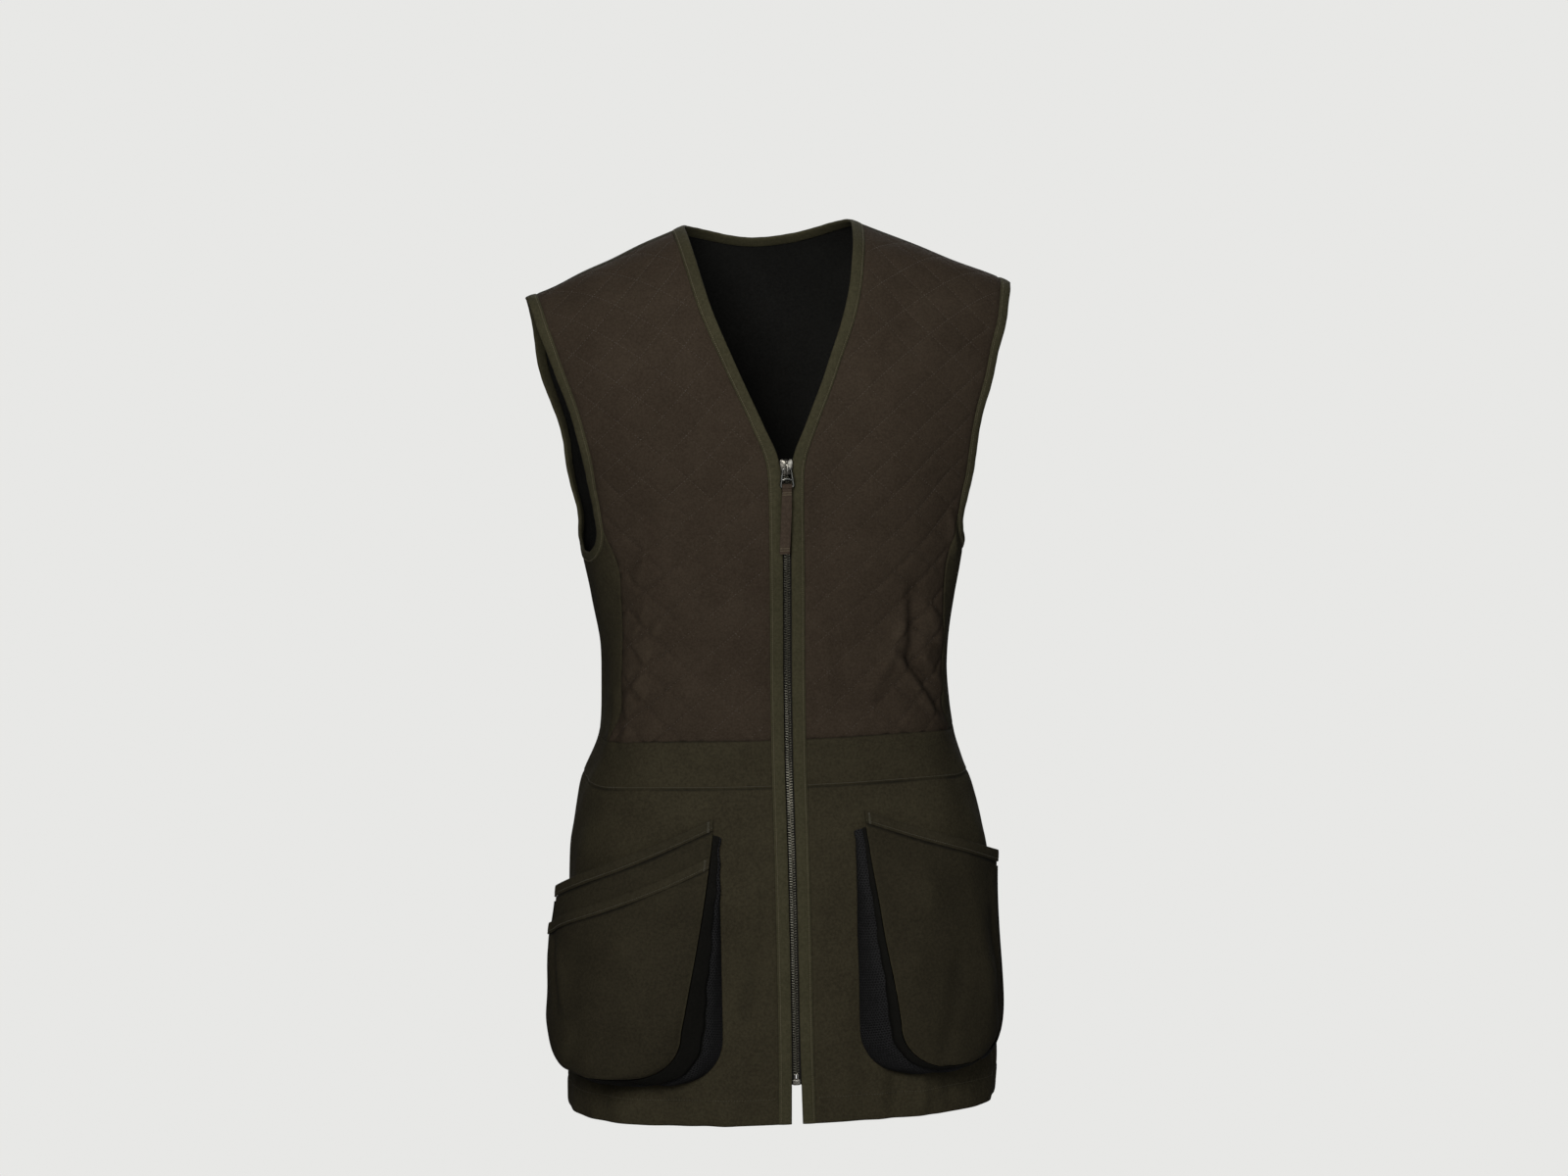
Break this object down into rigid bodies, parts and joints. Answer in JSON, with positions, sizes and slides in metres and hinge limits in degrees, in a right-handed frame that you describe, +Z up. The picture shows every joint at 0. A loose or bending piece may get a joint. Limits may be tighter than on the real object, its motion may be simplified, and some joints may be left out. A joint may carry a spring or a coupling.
{
  "type": "shooting vest",
  "caption": "Sleeveless vest in its worn, hollow form: quilted brown fronts, green twill back and skirt, bound V neck and armholes, front zip with hanging pull, mesh-sided pockets.",
  "frame": {"origin": "midway between the two neck points, at the height of the shoulder seams, where the wearer's shoulders carry the vest", "axes": "+Z up, the vest's front faces -Y, +X to the wearer's left"},
  "size_m": [0.4366, 0.2886, 0.7996],
  "materials": {
    "quilted_cloth": "brown suede-like cloth, diamond quilted",
    "green_twill": "dark olive cotton twill",
    "green_binding": "olive binding",
    "black_mesh": "black mesh cloth",
    "zip_tape": "woven black tape",
    "gunmetal": "dark gunmetal",
    "nickel": "bright nickel plating",
    "puller_cloth": "folded brown strip"
  },
  "bodies": {
    "vest": {"front_quilt_right": "quilted_cloth", "front_quilt_left": "quilted_cloth", "side_panel_right": "green_twill", "side_panel_left": "green_twill", "back_upper": "green_twill", "waistband_front_right": "green_twill", "waistband_front_left": "green_twill", "waistband_back": "green_twill", "skirt_front_right": "green_twill", "skirt_front_left": "green_twill", "skirt_back": "green_twill", "neck_binding_right": "green_binding", "neck_binding_left": "green_binding", "neck_binding_back": "green_binding", "armhole_binding_right": "green_binding", "armhole_binding_left": "green_binding", "zip_facing_right": "green_binding", "zip_facing_left": "green_binding", "zip_tape_right": "zip_tape", "zip_tape_left": "zip_tape", "zip_chain": "gunmetal", "zip_slider": "nickel", "zip_box": "nickel", "pocket_right_front": "green_twill", "pocket_left_front": "green_twill", "pocket_right_rim": "green_twill", "pocket_left_rim": "green_twill", "pocket_right_layer": "green_twill", "pocket_right_layer_rim": "green_twill", "pocket_right_gusset": "black_mesh", "pocket_left_gusset": "black_mesh"},
    "zip_pull": {"zip_pull_tab": "gunmetal", "zip_puller": "puller_cloth"}
  },
  "joints": [
    {"name": "pull_tab_hinge", "type": "hinge", "parent": "vest", "child": "zip_pull", "pos_m": [0, -0.13142, -0.1965], "axis": [-1, 0, 0], "range_deg": [0, 150]}
  ]
}
